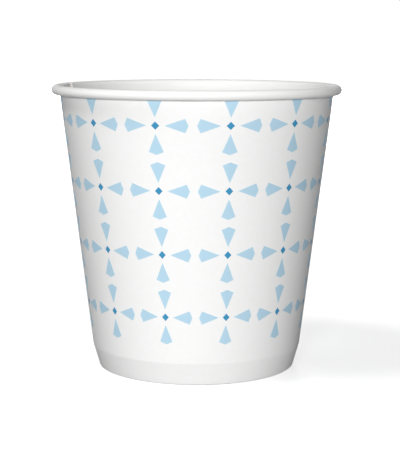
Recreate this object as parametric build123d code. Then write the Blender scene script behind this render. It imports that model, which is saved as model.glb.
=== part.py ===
from build123d import *
import os
from math import acos, cos, degrees, radians, sin, tan

# A small rolled-rim paper cup. The frame's origin is the middle of the ring it stands on,
# +Z is up and the cup is seen from -Y, with its glued seam at the back left.
# Lengths are in millimetres and angles in degrees.
# Angles round the cup start at -Y and grow towards +X.

# Cup
RIM_DIAMETER = 58.0
CUP_HEIGHT = 56.7
BOARD = 0.3
WALL_ANGLE = 7.03

# Rolled rim
CURL_DIAMETER = 1.9
TUCK_GAP = 0.08
TUCK_TURN = 190.0

# Heel, where the wall is pinched round the bottom disc
HEEL_HEIGHT = 4.46
HEEL_ANGLE = 16.3
HEEL_BEND_RADIUS = 1.0
CREASE_RADIUS = 0.05
HEM_GAP = 0.55

# Bottom disc
DISC_BOARD = 0.3
DISC_CORNER_RADIUS = 0.4
SEAL_GAP = 0.02

# Side seam, halfway between two columns of the print
LAP_WIDTH = 5.0
SEAM_AFTER_COLUMN = 8

# Print: a lattice of diamonds with four petals each.
# Widths round the cup are those of the top row, and shrink with the cone towards the base.
INK = 0.04
COLUMNS = 12
ROWS = 4
FIRST_COLUMN = -16.46
ROW_TWIST = 0.4
TOP_ROW_HEIGHT = 50.2
ROW_PITCH = 12.27
DIAMOND_HALF_WIDTH = 0.79
DIAMOND_HALF_HEIGHT = 0.77
SIDE_PETAL_START = 1.79
SIDE_PETAL_SHOULDER = 5.59
SIDE_PETAL_TIP = 6.22
SIDE_PETAL_HALF_HEIGHT = 1.32
UPRIGHT_PETAL_START = 1.55
UPRIGHT_PETAL_SHOULDER = 4.9
UPRIGHT_PETAL_TIP = 5.46
UPRIGHT_PETAL_HALF_WIDTH = 1.49

# Worked out from the sizes above
wall = radians(WALL_ANGLE)
heel = radians(HEEL_ANGLE)
curl_radius = CURL_DIAMETER / 2
curl_x = RIM_DIAMETER / 2 - curl_radius
curl_z = CUP_HEIGHT - curl_radius
curl_underside = curl_z - curl_radius
tuck_radius = curl_radius - (BOARD + TUCK_GAP) / (1 + sin(wall))
tuck_z = curl_underside + tuck_radius
fold_width = (2 * BOARD + DISC_BOARD + 2 * SEAL_GAP) / cos(heel)
disc_top = HEEL_HEIGHT
hem_height = disc_top - DISC_BOARD - HEM_GAP
column_pitch = 360 / COLUMNS
seam_angle = FIRST_COLUMN + column_pitch * (SEAM_AFTER_COLUMN + 0.5) + ROW_TWIST * (ROWS - 1) / 2
seam_column = SEAM_AFTER_COLUMN + 1


def wall_x(z, depth=0.0):
    """Radius of the conical wall at height z, depth inside its printed face."""
    return curl_x - (curl_radius - BOARD + depth) / cos(wall) - (curl_z - z) * tan(wall)


def heel_x(z, depth=0.0):
    """Radius of the pinched heel at height z, depth inside its printed face."""
    return wall_x(HEEL_HEIGHT) - depth / cos(heel) - (HEEL_HEIGHT - z) * tan(heel)


def bend_point(depth):
    """The mitred corner between wall and heel, depth inside the printed face."""
    drop = depth * tan((heel + wall) / 2)
    return (wall_x(HEEL_HEIGHT + drop, depth), HEEL_HEIGHT + drop)


def board_line(depth):
    """The board's section from the tucked edge of the curl to the top of the hem."""
    curl_face = curl_radius - BOARD + depth
    tuck_face = tuck_radius - BOARD + depth
    hem_x = heel_x(0) - fold_width
    lean = Vector(cos(wall), -sin(wall))
    tangent = Vector(curl_x, curl_z) - lean * curl_face
    corners = [
        tangent,
        bend_point(depth),
        (heel_x(depth, depth), depth),
        (hem_x + depth * tan(heel) + depth / cos(heel), depth),
        (hem_x + hem_height * tan(heel) + depth * cos(heel), hem_height - depth * sin(heel)),
    ]
    crease = CREASE_RADIUS + BOARD - depth
    bend = HEEL_BEND_RADIUS + BOARD - depth
    tuck = CenterArc((curl_x, tuck_z), tuck_face, -90, -TUCK_TURN)
    curl = CenterArc((curl_x, curl_z), curl_face, -90, 270 - WALL_ANGLE)
    return tuck, curl, FilletPolyline(*corners, radius=[bend, crease, crease])


def ring(points, angle=360.0, start=0.0):
    """A section given by its corners, turned about the cup's axis from the angle start."""
    face = Plane.XZ * make_face(Polyline(*points, close=True))
    return Rot(0, 0, start - 90) * revolve(face, axis=Axis.Z, revolution_arc=angle)


def rolled_board():
    """Wall, curl, heel and hem as one rolled and folded board, before its seam."""
    tuck, curl, run = board_line(0)
    tuck_back, curl_back, run_back = board_line(BOARD)
    ends = [Line(tuck @ 1, tuck_back @ 1), Line(run @ 1, run_back @ 1)]
    edges = [tuck, curl, *run.edges(), tuck_back, curl_back, *run_back.edges(), *ends]
    return revolve(Plane.XZ * make_face(edges), axis=Axis.Z)


def on_wall(angle, z, depth=0.0):
    """A plane on the wall at an angle round the cup, facing outwards, with its x level."""
    a = radians(angle)
    outward = Vector(sin(a) * cos(wall), -cos(a) * cos(wall), -sin(wall))
    radius = wall_x(z, depth)
    spot = Vector(radius * sin(a), -radius * cos(a), z)
    return Plane(spot, x_dir=(cos(a), sin(a), 0), z_dir=outward)


def on_heel(angle, z):
    """A plane on the heel at an angle round the cup, facing outwards."""
    a = radians(angle)
    outward = Vector(sin(a) * cos(heel), -cos(a) * cos(heel), -sin(heel))
    spot = Vector(heel_x(z) * sin(a), -heel_x(z) * cos(a), z)
    return Plane(spot, x_dir=(cos(a), sin(a), 0), z_dir=outward)


# The stiff board leaves the layer below it along a flat, tangent to the cone.
lap_turn = degrees(LAP_WIDTH / wall_x(CUP_HEIGHT / 2))
ramp_turn = degrees(acos(heel_x(0) / (heel_x(0) + BOARD / cos(heel))))
lap_end = seam_angle + lap_turn
ramp_end = lap_end + ramp_turn


def lap_on_wall(root, lift, top):
    """The outer layer of the seam on the wall, from root inside the printed face to lift above."""
    low_in, low_out = bend_point(root), bend_point(-lift)
    section = [low_in, low_out, (wall_x(top, -lift), top), (wall_x(top, root), top)]
    layer = ring(section, lap_turn + ramp_turn, seam_angle)
    flat = on_wall(ramp_end, HEEL_HEIGHT, BOARD - lift)
    return split(layer, bisect_by=flat, keep=Keep.BOTTOM)


def lap_on_heel():
    """The outer layer of the seam on the heel, down to the ring the cup stands on."""
    root = BOARD / 2
    section = [(heel_x(0, root), 0), (heel_x(0, -BOARD), 0), bend_point(-BOARD), bend_point(root)]
    layer = ring(section, lap_turn + ramp_turn, seam_angle)
    return split(layer, bisect_by=on_heel(ramp_end, HEEL_HEIGHT), keep=Keep.BOTTOM)


def seam_groove():
    """The wedge of air beside the inner layer's cut edge, from the disc to the rim."""
    low = HEEL_HEIGHT + BOARD
    inside = BOARD + SEAL_GAP
    section = [(wall_x(z, depth), z) for z, depth in
               ((low, inside), (low, SEAL_GAP), (curl_z, SEAL_GAP), (curl_z, inside))]
    wedge = ring(section, ramp_turn, lap_end)
    flat = on_wall(ramp_end, HEEL_HEIGHT, BOARD)
    return split(wedge, bisect_by=flat, keep=Keep.BOTTOM)


def sidewall():
    """The whole sidewall blank, lapped and glued along its side seam."""
    outer = lap_on_wall(BOARD / 2, BOARD, curl_z) + lap_on_heel()
    return rolled_board() + outer - seam_groove()


def bottom_disc():
    """The recessed disc, with its skirt turned down between heel and hem."""
    def face_line(depth):
        top = disc_top - depth
        inset = BOARD + SEAL_GAP + depth
        foot = BOARD + SEAL_GAP
        corners = [(0, top), (heel_x(top, inset), top), (heel_x(foot, inset), foot)]
        return FilletPolyline(*corners, radius=DISC_CORNER_RADIUS + DISC_BOARD - depth)

    upper, lower = face_line(0), face_line(DISC_BOARD)
    ends = [Line(upper @ 0, lower @ 0), Line(upper @ 1, lower @ 1)]
    face = make_face([*upper.edges(), *lower.edges(), *ends])
    return revolve(Plane.XZ * face, axis=Axis.Z)


def ink_ring(angle, start):
    """The film of ink round a stretch of the plain wall, up to the underside of the curl."""
    low, top = bend_point(0), curl_underside
    section = [low, bend_point(-INK), (wall_x(top, -INK), top), (wall_x(top), top)]
    return ring(section, angle, start)


def ink_over_seam():
    """The same film where it climbs the seam."""
    start = seam_angle + lap_turn / 2
    over = lap_on_wall(0, BOARD + INK, curl_underside) + ink_ring(column_pitch, start)
    return over - lap_on_wall(0, BOARD, curl_underside)


def motif_block(corners, angle, z):
    """A block through the wall whose outline is corners, as widths round and up the cup."""
    width = wall_x(TOP_ROW_HEIGHT)
    middle = sum(across for across, _ in corners) / len(corners)
    plane = on_wall(angle + degrees(middle / width), z)
    points = []
    for across, along in corners:
        spot = on_wall(angle + degrees(across / width), z + along * cos(wall)).origin
        local = plane.to_local_coords(spot)
        points.append((local.X, local.Y))
    return extrude(plane * make_face(Polyline(*points, close=True)), amount=4 * BOARD, both=True)


def petal(start, shoulder, tip, half):
    """Corners of a petal that points away from the diamond, as distances out and aside."""
    return [(start, 0), (shoulder, half), (tip, 0), (shoulder, -half)]


def motif(angle, z):
    """The blocks of one diamond and of its four petals."""
    w, h = DIAMOND_HALF_WIDTH, DIAMOND_HALF_HEIGHT
    diamond = motif_block([(w, 0), (0, h), (-w, 0), (0, -h)], angle, z)
    side = petal(SIDE_PETAL_START, SIDE_PETAL_SHOULDER, SIDE_PETAL_TIP, SIDE_PETAL_HALF_HEIGHT)
    upright = petal(UPRIGHT_PETAL_START, UPRIGHT_PETAL_SHOULDER, UPRIGHT_PETAL_TIP,
                    UPRIGHT_PETAL_HALF_WIDTH)
    petals = []
    for way in (1, -1):
        petals.append(motif_block([(way * out, way * aside) for out, aside in side], angle, z))
        petals.append(motif_block([(way * aside, way * out) for out, aside in upright], angle, z))
    return diamond, petals


def column(angle, film):
    """One column of the print, cut out of the film of ink."""
    diamonds, petals = [], []
    for row in range(ROWS):
        z = TOP_ROW_HEIGHT - row * ROW_PITCH * cos(wall)
        diamond, four = motif(angle + row * ROW_TWIST, z)
        diamonds.append(diamond)
        petals.extend(four)
    return [[solid for block in blocks for solid in (block & film).solids()]
            for blocks in (diamonds, petals)]


def printed():
    """Every diamond and every petal, with the plain columns turned copies of one."""
    angle = FIRST_COLUMN
    plain = column(angle, ink_ring(column_pitch, angle - column_pitch / 2))
    seam = column(angle + seam_column * column_pitch, ink_over_seam())
    sets = []
    for kind in (0, 1):
        solids = list(seam[kind])
        for turn in range(COLUMNS):
            if turn != seam_column:
                solids += [Rot(0, 0, turn * column_pitch) * solid for solid in plain[kind]]
        sets.append(Compound(children=solids))
    return sets


diamonds, petals = printed()
parts = {
    "sidewall": sidewall(),
    "bottom_disc": bottom_disc(),
    "print_diamonds": diamonds,
    "print_petals": petals,
}

os.makedirs("parts", exist_ok=True)
for name, shape in parts.items():
    export_step(shape, f"parts/{name}.step")
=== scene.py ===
import math

import bpy
import numpy as np
from mathutils import Matrix, Vector

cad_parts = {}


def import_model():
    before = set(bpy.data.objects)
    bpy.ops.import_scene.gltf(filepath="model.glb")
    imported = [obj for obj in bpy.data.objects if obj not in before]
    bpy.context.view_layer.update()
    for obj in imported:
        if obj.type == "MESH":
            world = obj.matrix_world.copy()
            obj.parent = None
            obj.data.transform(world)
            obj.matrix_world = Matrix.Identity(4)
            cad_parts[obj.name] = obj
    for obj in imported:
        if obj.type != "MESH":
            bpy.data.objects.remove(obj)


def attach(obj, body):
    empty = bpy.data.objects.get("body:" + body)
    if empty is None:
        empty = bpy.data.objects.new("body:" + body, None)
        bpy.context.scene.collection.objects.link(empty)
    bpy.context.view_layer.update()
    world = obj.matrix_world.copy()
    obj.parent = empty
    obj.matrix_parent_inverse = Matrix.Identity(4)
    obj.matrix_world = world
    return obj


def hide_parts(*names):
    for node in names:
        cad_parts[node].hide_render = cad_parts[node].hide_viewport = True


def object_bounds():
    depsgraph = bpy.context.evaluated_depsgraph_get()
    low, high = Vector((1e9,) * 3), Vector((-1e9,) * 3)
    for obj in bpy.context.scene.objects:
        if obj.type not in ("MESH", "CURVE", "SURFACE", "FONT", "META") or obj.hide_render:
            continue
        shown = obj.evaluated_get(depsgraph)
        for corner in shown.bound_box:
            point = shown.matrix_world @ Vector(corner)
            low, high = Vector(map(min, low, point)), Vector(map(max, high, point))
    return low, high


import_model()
cad_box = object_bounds()

MM = 0.001

# The board and how it is rolled, in millimetres and degrees, as in the construction.
BOARD = 0.3
WALL_ANGLE = math.radians(7.03)
CURL_RADIUS = 0.95
TUCK_GAP = 0.08
TUCK_TURN = math.radians(190.0)
HEEL_HEIGHT = 4.46
HEEL_ANGLE = math.radians(16.3)
HEEL_BEND_RADIUS = 1.0
CREASE_RADIUS = 0.05
HEM_GAP = 0.55
DISC_BOARD = 0.3
DISC_CORNER_RADIUS = 0.4
SEAL_GAP = 0.02
LAP_WIDTH = 5.0
SEAM_AFTER_COLUMN = 8

# How finely the board is drawn. The cut edges of the seam are thin slopes of CUT_WIDTH millimetres,
# and no other column of points comes nearer to them than EDGE_CLEARANCE radians. DISC_MIDDLE is the
# radius of the one face in the disc's middle, stations nearer than SAME_SPOT count as one, and
# EDGE_SLOT is the material slot of a cut edge.
ROUND_STEPS = 384
DISC_STEPS = 192
DISC_MIDDLE = 0.4
CUT_WIDTH = 0.01
EDGE_CLEARANCE = 3e-3
SAME_SPOT = 1e-4
SHARP_TURN = math.radians(35)
EDGE_SLOT = 2

# The print, with widths round the cup measured in its top row.
INK = 0.012
COLUMNS = 12
ROWS = 4
FIRST_COLUMN = math.radians(-16.46)
ROW_TWIST = math.radians(0.4)
TOP_ROW_HEIGHT = 50.2
ROW_PITCH = 12.27
DIAMOND = dict(half_width=0.79, half_height=0.77)
SIDE_PETAL = dict(start=1.79, shoulder=5.59, tip=6.22, half=1.32)
UPRIGHT_PETAL = dict(start=1.55, shoulder=4.9, tip=5.46, half=1.49)

# Steps across each field of ink, enough for it to follow the round wall.
DIAMOND_STEPS = 3
SIDE_STEPS = 8
UPRIGHT_STEPS = 6

# The photograph's camera, in metres, degrees and pixels. It was fitted to the cup's outline
# and print and then moved a little.
IMAGE_HEIGHT = 457
FOCAL_PIXELS = 1379.2
SENSOR = 36.0
CAMERA_PLACE = (0.0, -0.27735, 0.06778)
CAMERA_DOWN = 8.256
CAMERA_RIGHT = 0.149
CAMERA_ROLL = 0.12

# Every lamp stands this many metres from the middle of the cup.
LAMP_DISTANCE = 1.4

# The floor throws little light back on the cup, as FLOOR_BOUNCE. Where it is seen it is FLOOR_SHADE
# and glows, less near the cup so that the shadow shows, and to full white farther out. FLOOR_FADE
# is where that starts and ends, in metres.
FLOOR_HALF = 4.0
FLOOR_BOUNCE = "#404040"
FLOOR_SHADE = "#E8E8E8"
FLOOR_FADE = (0.05, 0.3)
FLOOR_GLOW = (0.6, 1.0)

# Coated board is nearer 0.5, but then the mirrored white ground lightens the outline too much.
GLOSS_LEVEL = 0.1

low, high = cad_box
rim_radius = (high[0] - low[0]) / 2 / MM
cup_height = (high[2] - low[2]) / MM
curl_x = rim_radius - CURL_RADIUS
curl_z = cup_height - CURL_RADIUS
tuck_radius = CURL_RADIUS - (BOARD + TUCK_GAP) / (1 + math.sin(WALL_ANGLE))
tuck_z = curl_z - CURL_RADIUS + tuck_radius
fold_width = (2 * BOARD + DISC_BOARD + 2 * SEAL_GAP) / math.cos(HEEL_ANGLE)
hem_height = HEEL_HEIGHT - DISC_BOARD - HEM_GAP
column_pitch = 2 * math.pi / COLUMNS
seam_angle = FIRST_COLUMN + column_pitch * (SEAM_AFTER_COLUMN + 0.5) + ROW_TWIST * (ROWS - 1) / 2


def wall_x(z, depth=0.0):
    """Radius of the conical wall at height z, depth inside its printed face."""
    return (curl_x - (CURL_RADIUS - BOARD + depth) / math.cos(WALL_ANGLE)
            - (curl_z - z) * math.tan(WALL_ANGLE))


def heel_x(z, depth=0.0):
    """Radius of the pinched heel at height z, depth inside its printed face."""
    return wall_x(HEEL_HEIGHT) - depth / math.cos(HEEL_ANGLE) - (HEEL_HEIGHT - z) * math.tan(HEEL_ANGLE)


# The lap as an angle, and the flat where the stiff outer layer comes down to the one below.
lap_turn = LAP_WIDTH / wall_x(cup_height / 2)
ramp_turn = math.acos(heel_x(0) / (heel_x(0) + BOARD / math.cos(HEEL_ANGLE)))


def seam_lift(angle):
    """How far the seam lifts the outer layer of board at an angle round the cup, 0 to 1."""
    past = (angle - seam_angle) % (2 * math.pi)
    if past <= lap_turn:
        return 1.0
    rest = 1 - (past - lap_turn) / ramp_turn
    return rest * rest * (3 - 2 * rest) if rest > 0 else 0.0


# Stations along the board: a point on the printed face, the way into the board, and how much of
# the seam's lift shows there. Each stretch is cut into count steps.

def arc_stations(centre, radius, start, turn, count, lift_start, lift_end):
    """Stations on a round stretch whose printed face is on the inside of the curl."""
    for i in range(count + 1):
        t = i / count
        a = start + turn * t
        way = (math.cos(a), math.sin(a))
        spot = (centre[0] + radius * way[0], centre[1] + radius * way[1])
        yield spot, way, lift_start + (lift_end - lift_start) * t


def line_stations(start, end, count, lift_start, lift_end):
    """Stations on a straight stretch, which runs down the wall or up the hem."""
    dx, dz = end[0] - start[0], end[1] - start[1]
    length = math.hypot(dx, dz)
    way = (dz / length, -dx / length)
    for i in range(count + 1):
        t = i / count
        spot = (start[0] + dx * t, start[1] + dz * t)
        yield spot, way, lift_start + (lift_end - lift_start) * t


def corner_arc(before, corner, after, radius, count, lift):
    """Stations of the round corner between two straight stretches, printed face outside."""
    b, c, a = (np.array(p) for p in (before, corner, after))
    u, v = (b - c) / np.linalg.norm(b - c), (a - c) / np.linalg.norm(a - c)
    half = math.acos(np.clip(np.dot(u, v), -1, 1)) / 2
    centre = c + (u + v) / np.linalg.norm(u + v) * radius / math.sin(half)
    first = c + u * radius / math.tan(half) - centre
    last = c + v * radius / math.tan(half) - centre
    start = math.atan2(first[1], first[0])
    turn = (math.atan2(last[1], last[0]) - start + math.pi) % (2 * math.pi) - math.pi
    for i in range(count + 1):
        angle = start + turn * i / count
        way = (-math.cos(angle), -math.sin(angle))
        spot = (centre[0] - radius * way[0], centre[1] - radius * way[1])
        yield spot, way, lift


def joined(runs):
    """The stations of several runs in a row, without one that falls on the one before."""
    stations = []
    for run in runs:
        for station in run:
            if not stations or math.dist(station[0], stations[-1][0]) > SAME_SPOT:
                stations.append(station)
    return stations


def board_stations():
    """The sidewall's section, from the tucked edge of the curl to the top of the hem."""
    lean = (math.cos(WALL_ANGLE), -math.sin(WALL_ANGLE))
    face = CURL_RADIUS - BOARD
    down = -math.pi / 2
    tangent = (curl_x - lean[0] * face, curl_z - lean[1] * face)
    bend = (wall_x(HEEL_HEIGHT), HEEL_HEIGHT)
    foot = (heel_x(0), 0.0)
    toe = (heel_x(0) - fold_width, 0.0)
    hem = (toe[0] + hem_height * math.tan(HEEL_ANGLE), hem_height)
    crease = CREASE_RADIUS + BOARD
    bend_turn = list(corner_arc(tangent, bend, foot, HEEL_BEND_RADIUS + BOARD, 4, 1.0))
    foot_turn = list(corner_arc(bend, foot, toe, crease, 6, 0.0))
    toe_turn = list(corner_arc(foot, toe, hem, crease, 8, 0.0))
    # The last two numbers are the shares of the seam's lift at a run's start and end: all of it on
    # the wall, half at the foot of the heel and none in the folds.
    return joined([
        arc_stations((curl_x, tuck_z), tuck_radius - BOARD, down - TUCK_TURN, TUCK_TURN, 12, 0, 0),
        arc_stations((curl_x, curl_z), face, down, math.pi, 24, 0, 0),
        arc_stations((curl_x, curl_z), face, -down, -down - WALL_ANGLE, 12, 0, 1),
        line_stations(tangent, bend_turn[0][0], 12, 1.0, 1.0),
        bend_turn,
        line_stations(bend_turn[-1][0], foot_turn[0][0], 6, 1.0, 0.5),
        foot_turn,
        toe_turn,
        line_stations(toe_turn[-1][0], hem, 6, 0.4, 0.8),
    ])


def around():
    """Angles of the columns of points round the cup, closer at the seam's cut edges."""
    cut = CUT_WIDTH / rim_radius
    edges = [seam_angle, seam_angle + lap_turn]
    angles = [a % (2 * math.pi) for e in edges for a in (e - cut, e)]
    for step in range(ROUND_STEPS):
        a = 2 * math.pi * step / ROUND_STEPS
        if all(abs((a - e + math.pi) % (2 * math.pi) - math.pi) > EDGE_CLEARANCE for e in edges):
            angles.append(a)
    return sorted(angles)


def place(x, z, angle):
    """A point of a section at an angle round the cup, in metres."""
    return (x * math.sin(angle) * MM, -x * math.cos(angle) * MM, z * MM)


def smooth_object(name, points, faces, slots, materials):
    """A mesh object with smooth faces, sharp where the surface turns by more than SHARP_TURN."""
    mesh = bpy.data.meshes.new(name)
    mesh.from_pydata(points, [], faces)
    for material in materials:
        mesh.materials.append(material)
    mesh.polygons.foreach_set("material_index", slots)
    mesh.polygons.foreach_set("use_smooth", [True] * len(faces))
    mesh.set_sharp_from_angle(angle=SHARP_TURN)
    mesh.update()
    piece = bpy.data.objects.new(name, mesh)
    bpy.context.scene.collection.objects.link(piece)
    return piece


def board_faces(angle):
    """How far the seam moves the printed and the plain face at an angle, as shares of BOARD."""
    lift = seam_lift(angle)
    past = (angle - seam_angle) % (2 * math.pi)
    return lift, (lift if past >= lap_turn - 1e-9 else 0.0)


def sheet(stations, angles, depth, slot, cut_rows):
    """Points, faces and slots of a sheet of board turned round the cup.

    Side 0 is the face the stations run along and side 1 the one behind it. depth gives how deep a
    side lies at an angle, slot its material in a column, and cut_rows are the rows at an end of the
    stations where a cut edge joins the two sides.
    """
    rows, columns = len(stations), len(angles)
    points, faces, slots = [], [], []
    for side in (0, 1):
        for (x, z), way, share in stations:
            for angle in angles:
                shift = depth(side, share, angle)
                points.append(place(x + way[0] * shift, z + way[1] * shift, angle))

    def index(side, row, column):
        return (side * rows + row) * columns + column % columns

    for column in range(columns):
        for row in range(rows - 1):
            for side in (0, 1):
                a, b = index(side, row, column), index(side, row, column + 1)
                c, d = index(side, row + 1, column + 1), index(side, row + 1, column)
                faces.append((a, b, c, d) if side else (a, d, c, b))
                slots.append(slot(side, column))
        for row in cut_rows:
            ring = (index(0, row, column), index(0, row, column + 1),
                    index(1, row, column + 1), index(1, row, column))
            faces.append(ring[::-1] if row else ring)
            slots.append(EDGE_SLOT)
    return points, faces, slots


def sidewall(materials):
    """The whole sidewall blank as one closed sheet."""
    stations, angles = board_stations(), around()

    def depth(side, share, angle):
        out, back = board_faces(angle)
        return BOARD - back * BOARD * share if side else -out * BOARD * share

    def slot(side, column):
        gap = (angles[(column + 1) % len(angles)] - angles[column]) % (2 * math.pi)
        lifted = seam_lift(angles[column]) > 0.5
        return EDGE_SLOT if gap < 2 * CUT_WIDTH / rim_radius and lifted == bool(side) else side

    points, faces, slots = sheet(stations, angles, depth, slot, (0, len(stations) - 1))
    return smooth_object("sidewall_blank", points, faces, slots, materials)


def bottom_disc(materials):
    """The recessed disc, flat on top, with its skirt turned down."""
    inset = BOARD + SEAL_GAP
    top, foot = HEEL_HEIGHT, inset
    corner = (heel_x(top, inset), top)
    end = (heel_x(foot, inset), foot)
    turn = list(corner_arc((0, top), corner, end, DISC_CORNER_RADIUS + DISC_BOARD, 8, 0.0))
    stations = joined([line_stations((DISC_MIDDLE, top), turn[0][0], 14, 0, 0), turn,
                       line_stations(turn[-1][0], end, 5, 0, 0)])
    angles = [2 * math.pi * column / DISC_STEPS for column in range(DISC_STEPS)]
    points, faces, slots = sheet(stations, angles, lambda side, share, angle: DISC_BOARD * side,
                                 lambda side, column: side, (len(stations) - 1,))
    # One face on each side closes the middle.
    behind = len(stations) * DISC_STEPS
    faces.append(list(range(DISC_STEPS)))
    faces.append(list(range(behind, behind + DISC_STEPS))[::-1])
    slots += [0, 1]
    return smooth_object("bottom_disc_board", points, faces, slots, materials)


def print_spot(angle, z, across, along, lift):
    """A point on the printed face, across and along from a motif's centre, lift above it."""
    a = angle + across / wall_x(TOP_ROW_HEIGHT)
    up = z + along * math.cos(WALL_ANGLE)
    out = lift + seam_lift(a) * BOARD
    return place(wall_x(up) + out * math.cos(WALL_ANGLE), up - out * math.sin(WALL_ANGLE), a)


def film(corners, angle, z, steps, points, faces):
    """Adds one field of ink, a four-cornered film that follows the wall."""
    start = len(points)
    side = steps + 1
    for lift in (0.0, INK):
        for i in range(side):
            for j in range(side):
                u, v = i / steps, j / steps
                weights = ((1 - u) * (1 - v), u * (1 - v), u * v, (1 - u) * v)
                across = sum(w * c[0] for w, c in zip(weights, corners))
                along = sum(w * c[1] for w, c in zip(weights, corners))
                points.append(print_spot(angle, z, across, along, lift))

    def index(layer, i, j):
        return start + (layer * side + i) * side + j

    for i in range(steps):
        for j in range(steps):
            ring = (i, j), (i + 1, j), (i + 1, j + 1), (i, j + 1)
            faces.append([index(1, *p) for p in ring])
            faces.append([index(0, *p) for p in reversed(ring)])
        for (p, q) in (((i, 0), (i + 1, 0)), ((steps, i), (steps, i + 1)),
                       ((i + 1, steps), (i, steps)), ((0, i + 1), (0, i))):
            faces.append([index(0, *p), index(0, *q), index(1, *q), index(1, *p)])


def petal(start, shoulder, tip, half):
    """Corners of a petal that points away from the diamond, as distances out and aside."""
    return [(start, 0), (shoulder, -half), (tip, 0), (shoulder, half)]


def printed(light, dark):
    """The lattice of diamonds and petals as two pieces, one for each ink."""
    w, h = DIAMOND["half_width"], DIAMOND["half_height"]
    diamond = [(w, 0), (0, h), (-w, 0), (0, -h)]
    side, upright = petal(**SIDE_PETAL), petal(**UPRIGHT_PETAL)
    dark_points, dark_faces, light_points, light_faces = [], [], [], []
    for column in range(COLUMNS):
        for row in range(ROWS):
            angle = FIRST_COLUMN + column * column_pitch + row * ROW_TWIST
            z = TOP_ROW_HEIGHT - row * ROW_PITCH * math.cos(WALL_ANGLE)
            film(diamond, angle, z, DIAMOND_STEPS, dark_points, dark_faces)
            for way in (1, -1):
                film([(way * out, way * aside) for out, aside in side], angle, z, SIDE_STEPS,
                     light_points, light_faces)
                film([(-way * aside, way * out) for out, aside in upright], angle, z, UPRIGHT_STEPS,
                     light_points, light_faces)
    return (smooth_object("petal_ink", light_points, light_faces, [0] * len(light_faces), [light]),
            smooth_object("diamond_ink", dark_points, dark_faces, [0] * len(dark_faces), [dark]))


# Materials

def linear(code):
    """An sRGB hex colour as linear red, green, blue and alpha."""
    values = [int(code[i:i + 2], 16) / 255 for i in (1, 3, 5)]
    return [v / 12.92 if v <= 0.04045 else ((v + 0.055) / 1.055) ** 2.4 for v in values] + [1.0]


def add(tree, kind, links=(), settings=(), **values):
    """Adds a node, with its settings, its input values and its links from other nodes' outputs."""
    node = tree.nodes.new(kind)
    for name, value in dict(settings).items():
        setattr(node, name, value)
    for name, value in values.items():
        node.inputs[name.replace("_", " ")].default_value = value
    for name, output in dict(links).items():
        tree.links.new(output, node.inputs[name])
    return node


def new_material(name):
    """An empty material and its node tree."""
    material = bpy.data.materials.new(name)
    material.use_nodes = True
    material.node_tree.nodes.clear()
    return material, material.node_tree


def board_material(name, colour, shade, roughness, spread, grain, relief):
    """Paper with a mottled tone and gloss; grain is the width of its spots in millimetres.

    A wood fibre is a few hundredths of a millimetre wide, too fine to show, so the mottle is drawn
    as coarse as the clumps that fibres form, and the relief four times finer than the mottle.
    """
    material, tree = new_material(name)
    where = add(tree, "ShaderNodeTexCoord").outputs["Object"]
    mottle = add(tree, "ShaderNodeTexNoise", {"Vector": where}, Scale=1 / (grain * MM), Detail=3.0)
    fibre = add(tree, "ShaderNodeTexNoise", {"Vector": where}, Scale=4 / (grain * MM), Detail=4.0)
    tone = add(tree, "ShaderNodeMix", {"Factor": mottle.outputs["Fac"]}, {"data_type": "RGBA"})
    # Inputs 6 and 7 are the two colours of the Mix node, and output 2 is their mixture.
    tone.inputs[6].default_value = linear(colour)
    tone.inputs[7].default_value = linear(shade)
    gloss = add(tree, "ShaderNodeMapRange", {"Value": mottle.outputs["Fac"]},
                To_Min=roughness - spread, To_Max=roughness + spread)
    bump = add(tree, "ShaderNodeBump", {"Height": fibre.outputs["Fac"]},
               Distance=relief * MM, Strength=1.0)
    shader = add(tree, "ShaderNodeBsdfPrincipled",
                 {"Base Color": tone.outputs[2], "Roughness": gloss.outputs["Result"],
                  "Normal": bump.outputs["Normal"]}, IOR=1.5)
    shader.inputs["Specular IOR Level"].default_value = GLOSS_LEVEL
    add(tree, "ShaderNodeOutputMaterial", {"Surface": shader.outputs["BSDF"]})
    return material


# Lights and floor

def studio(name, azimuth, elevation, size, power, mirrored=True):
    """A soft lamp of a size in metres and a power in watts that shines at the cup.

    Azimuth 0 is in front, and it grows to the right. A lamp that isn't mirrored leaves no glint.
    """
    a, e = math.radians(azimuth), math.radians(elevation)
    middle = Vector((0, 0, cup_height / 2 * MM))
    way = Vector((math.sin(a) * math.cos(e), -math.cos(a) * math.cos(e), math.sin(e)))
    lamp = bpy.data.lights.new(name, "AREA")
    lamp.shape = "RECTANGLE"
    lamp.size, lamp.size_y = size
    lamp.energy = power
    thing = bpy.data.objects.new(name, lamp)
    thing.location = middle + way * LAMP_DISTANCE
    thing.rotation_euler = (-way).to_track_quat("-Z", "Y").to_euler()
    thing.visible_glossy = mirrored
    bpy.context.scene.collection.objects.link(thing)


def seen_rays(tree):
    """1 for rays that show a surface as background: seen, mirrored or looked through."""
    rays = add(tree, "ShaderNodeLightPath")
    total = rays.outputs["Is Camera Ray"]
    for name in ("Is Glossy Ray", "Is Transmission Ray"):
        step = add(tree, "ShaderNodeMath", settings={"operation": "MAXIMUM"})
        tree.links.new(total, step.inputs[0])
        tree.links.new(rays.outputs[name], step.inputs[1])
        total = step.outputs[0]
    return total


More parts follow.
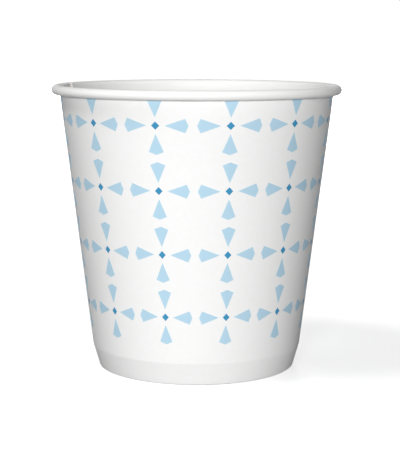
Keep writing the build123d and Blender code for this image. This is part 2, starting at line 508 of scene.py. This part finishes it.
def floor_material():
    """A white sweep that shows white, with the object's soft shadow on it."""
    material, tree = new_material("white studio floor")
    plain = add(tree, "ShaderNodeBsdfDiffuse", Color=linear(FLOOR_BOUNCE))
    shadowed = add(tree, "ShaderNodeBsdfDiffuse", Color=linear(FLOOR_SHADE))
    where = add(tree, "ShaderNodeTexCoord").outputs["Object"]
    reach = add(tree, "ShaderNodeVectorMath", {"Vector": where}, {"operation": "LENGTH"})
    level = add(tree, "ShaderNodeMapRange", {"Value": reach.outputs["Value"]})
    level.inputs["From Min"].default_value, level.inputs["From Max"].default_value = FLOOR_FADE
    level.inputs["To Min"].default_value, level.inputs["To Max"].default_value = FLOOR_GLOW
    glow = add(tree, "ShaderNodeEmission", {"Strength": level.outputs["Result"]}, Color=linear("#FFFFFF"))
    both = add(tree, "ShaderNodeAddShader")
    tree.links.new(shadowed.outputs[0], both.inputs[0])
    tree.links.new(glow.outputs[0], both.inputs[1])
    pick = add(tree, "ShaderNodeMixShader")
    tree.links.new(seen_rays(tree), pick.inputs[0])
    tree.links.new(plain.outputs[0], pick.inputs[1])
    tree.links.new(both.outputs[0], pick.inputs[2])
    add(tree, "ShaderNodeOutputMaterial", {"Surface": pick.outputs[0]})
    return material


def studio_floor():
    """A wide flat floor under the cup."""
    half = FLOOR_HALF
    corners = [(-half, -half, 0), (half, -half, 0), (half, half, 0), (-half, half, 0)]
    floor = smooth_object("floor", corners, [(0, 1, 2, 3)], [0], [floor_material()])


def world():
    """White where it is seen or mirrored, and no other light from it."""
    scene_world = bpy.data.worlds.new("studio")
    bpy.context.scene.world = scene_world
    scene_world.use_nodes = True
    tree = scene_world.node_tree
    tree.nodes.clear()
    unlit = add(tree, "ShaderNodeBackground", Color=linear("#FFFFFF"), Strength=0.0)
    white = add(tree, "ShaderNodeBackground", Color=linear("#FFFFFF"), Strength=1.0)
    pick = add(tree, "ShaderNodeMixShader")
    tree.links.new(seen_rays(tree), pick.inputs[0])
    tree.links.new(unlit.outputs[0], pick.inputs[1])
    tree.links.new(white.outputs[0], pick.inputs[2])
    add(tree, "ShaderNodeOutputWorld", {"Surface": pick.outputs[0]})


def camera():
    """The photograph's camera."""
    data = bpy.data.cameras.new("camera")
    data.sensor_width = SENSOR
    data.lens = SENSOR * FOCAL_PIXELS / IMAGE_HEIGHT
    thing = bpy.data.objects.new("camera", data)
    thing.location = CAMERA_PLACE
    down, right = math.radians(CAMERA_DOWN), math.radians(CAMERA_RIGHT)
    view = Vector((math.sin(right) * math.cos(down), math.cos(right) * math.cos(down), -math.sin(down)))
    turn = view.to_track_quat("-Z", "Y").to_matrix().to_4x4()
    thing.rotation_euler = (turn @ Matrix.Rotation(math.radians(CAMERA_ROLL), 4, "Z")).to_euler()
    bpy.context.scene.collection.objects.link(thing)
    bpy.context.scene.camera = thing


camera()
# Three lamps from the front and left give the photograph's shading. The one behind keeps the back
# from going dark, and it isn't mirrored because it made glints at the ends of the rim.
studio("key_left", -12, 9, (0.2, 0.5), 7.88)
studio("key_right", 4, 6, (0.2, 0.4), 12.6)
studio("high_left", -66, 62, (0.4, 0.4), 6.3)
studio("back", 178, 12, (0.4, 0.4), 13.0, False)
world()
studio_floor()

# White clay rolled smooth over the board: an even, nearly matt white that takes print sharply.
outside = board_material("clay coated paperboard", "#FAFAFA", "#F5F5F4", 0.6, 0.05, 0.9, 0.004)
# A film of polyethylene laid on the board: a little whiter and smoother than the outside.
inside = board_material("polyethylene coated paperboard", "#FBFBFA", "#F7F7F6", 0.5, 0.04, 1.4, 0.005)
# Board cut by a die: bare fibres, warmer in colour and quite matt.
edge = board_material("cut edge of paperboard", "#E6E2D9", "#D8D3C8", 0.9, 0.05, 0.25, 0.02)
# Inks printed flat in one pass: plain fields of colour, slightly glossier than the clay.
light = board_material("light blue printing ink", "#BADAEC", "#B6D8EB", 0.5, 0.05, 0.5, 0.003)
dark = board_material("dark blue printing ink", "#4497C2", "#4092BD", 0.48, 0.05, 0.5, 0.003)

wall_piece = sidewall([outside, inside, edge])
disc_piece = bottom_disc([inside, outside, edge])
petal_piece, diamond_piece = printed(light, dark)
for piece, node, slot in ((wall_piece, "sidewall", "cup_board"),
                          (disc_piece, "bottom_disc", "cup_board"),
                          (petal_piece, "print_petals", "light_blue_ink"),
                          (diamond_piece, "print_diamonds", "dark_blue_ink")):
    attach(piece, "root")
    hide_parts(node)

bpy.context.scene.view_settings.view_transform = "Standard"
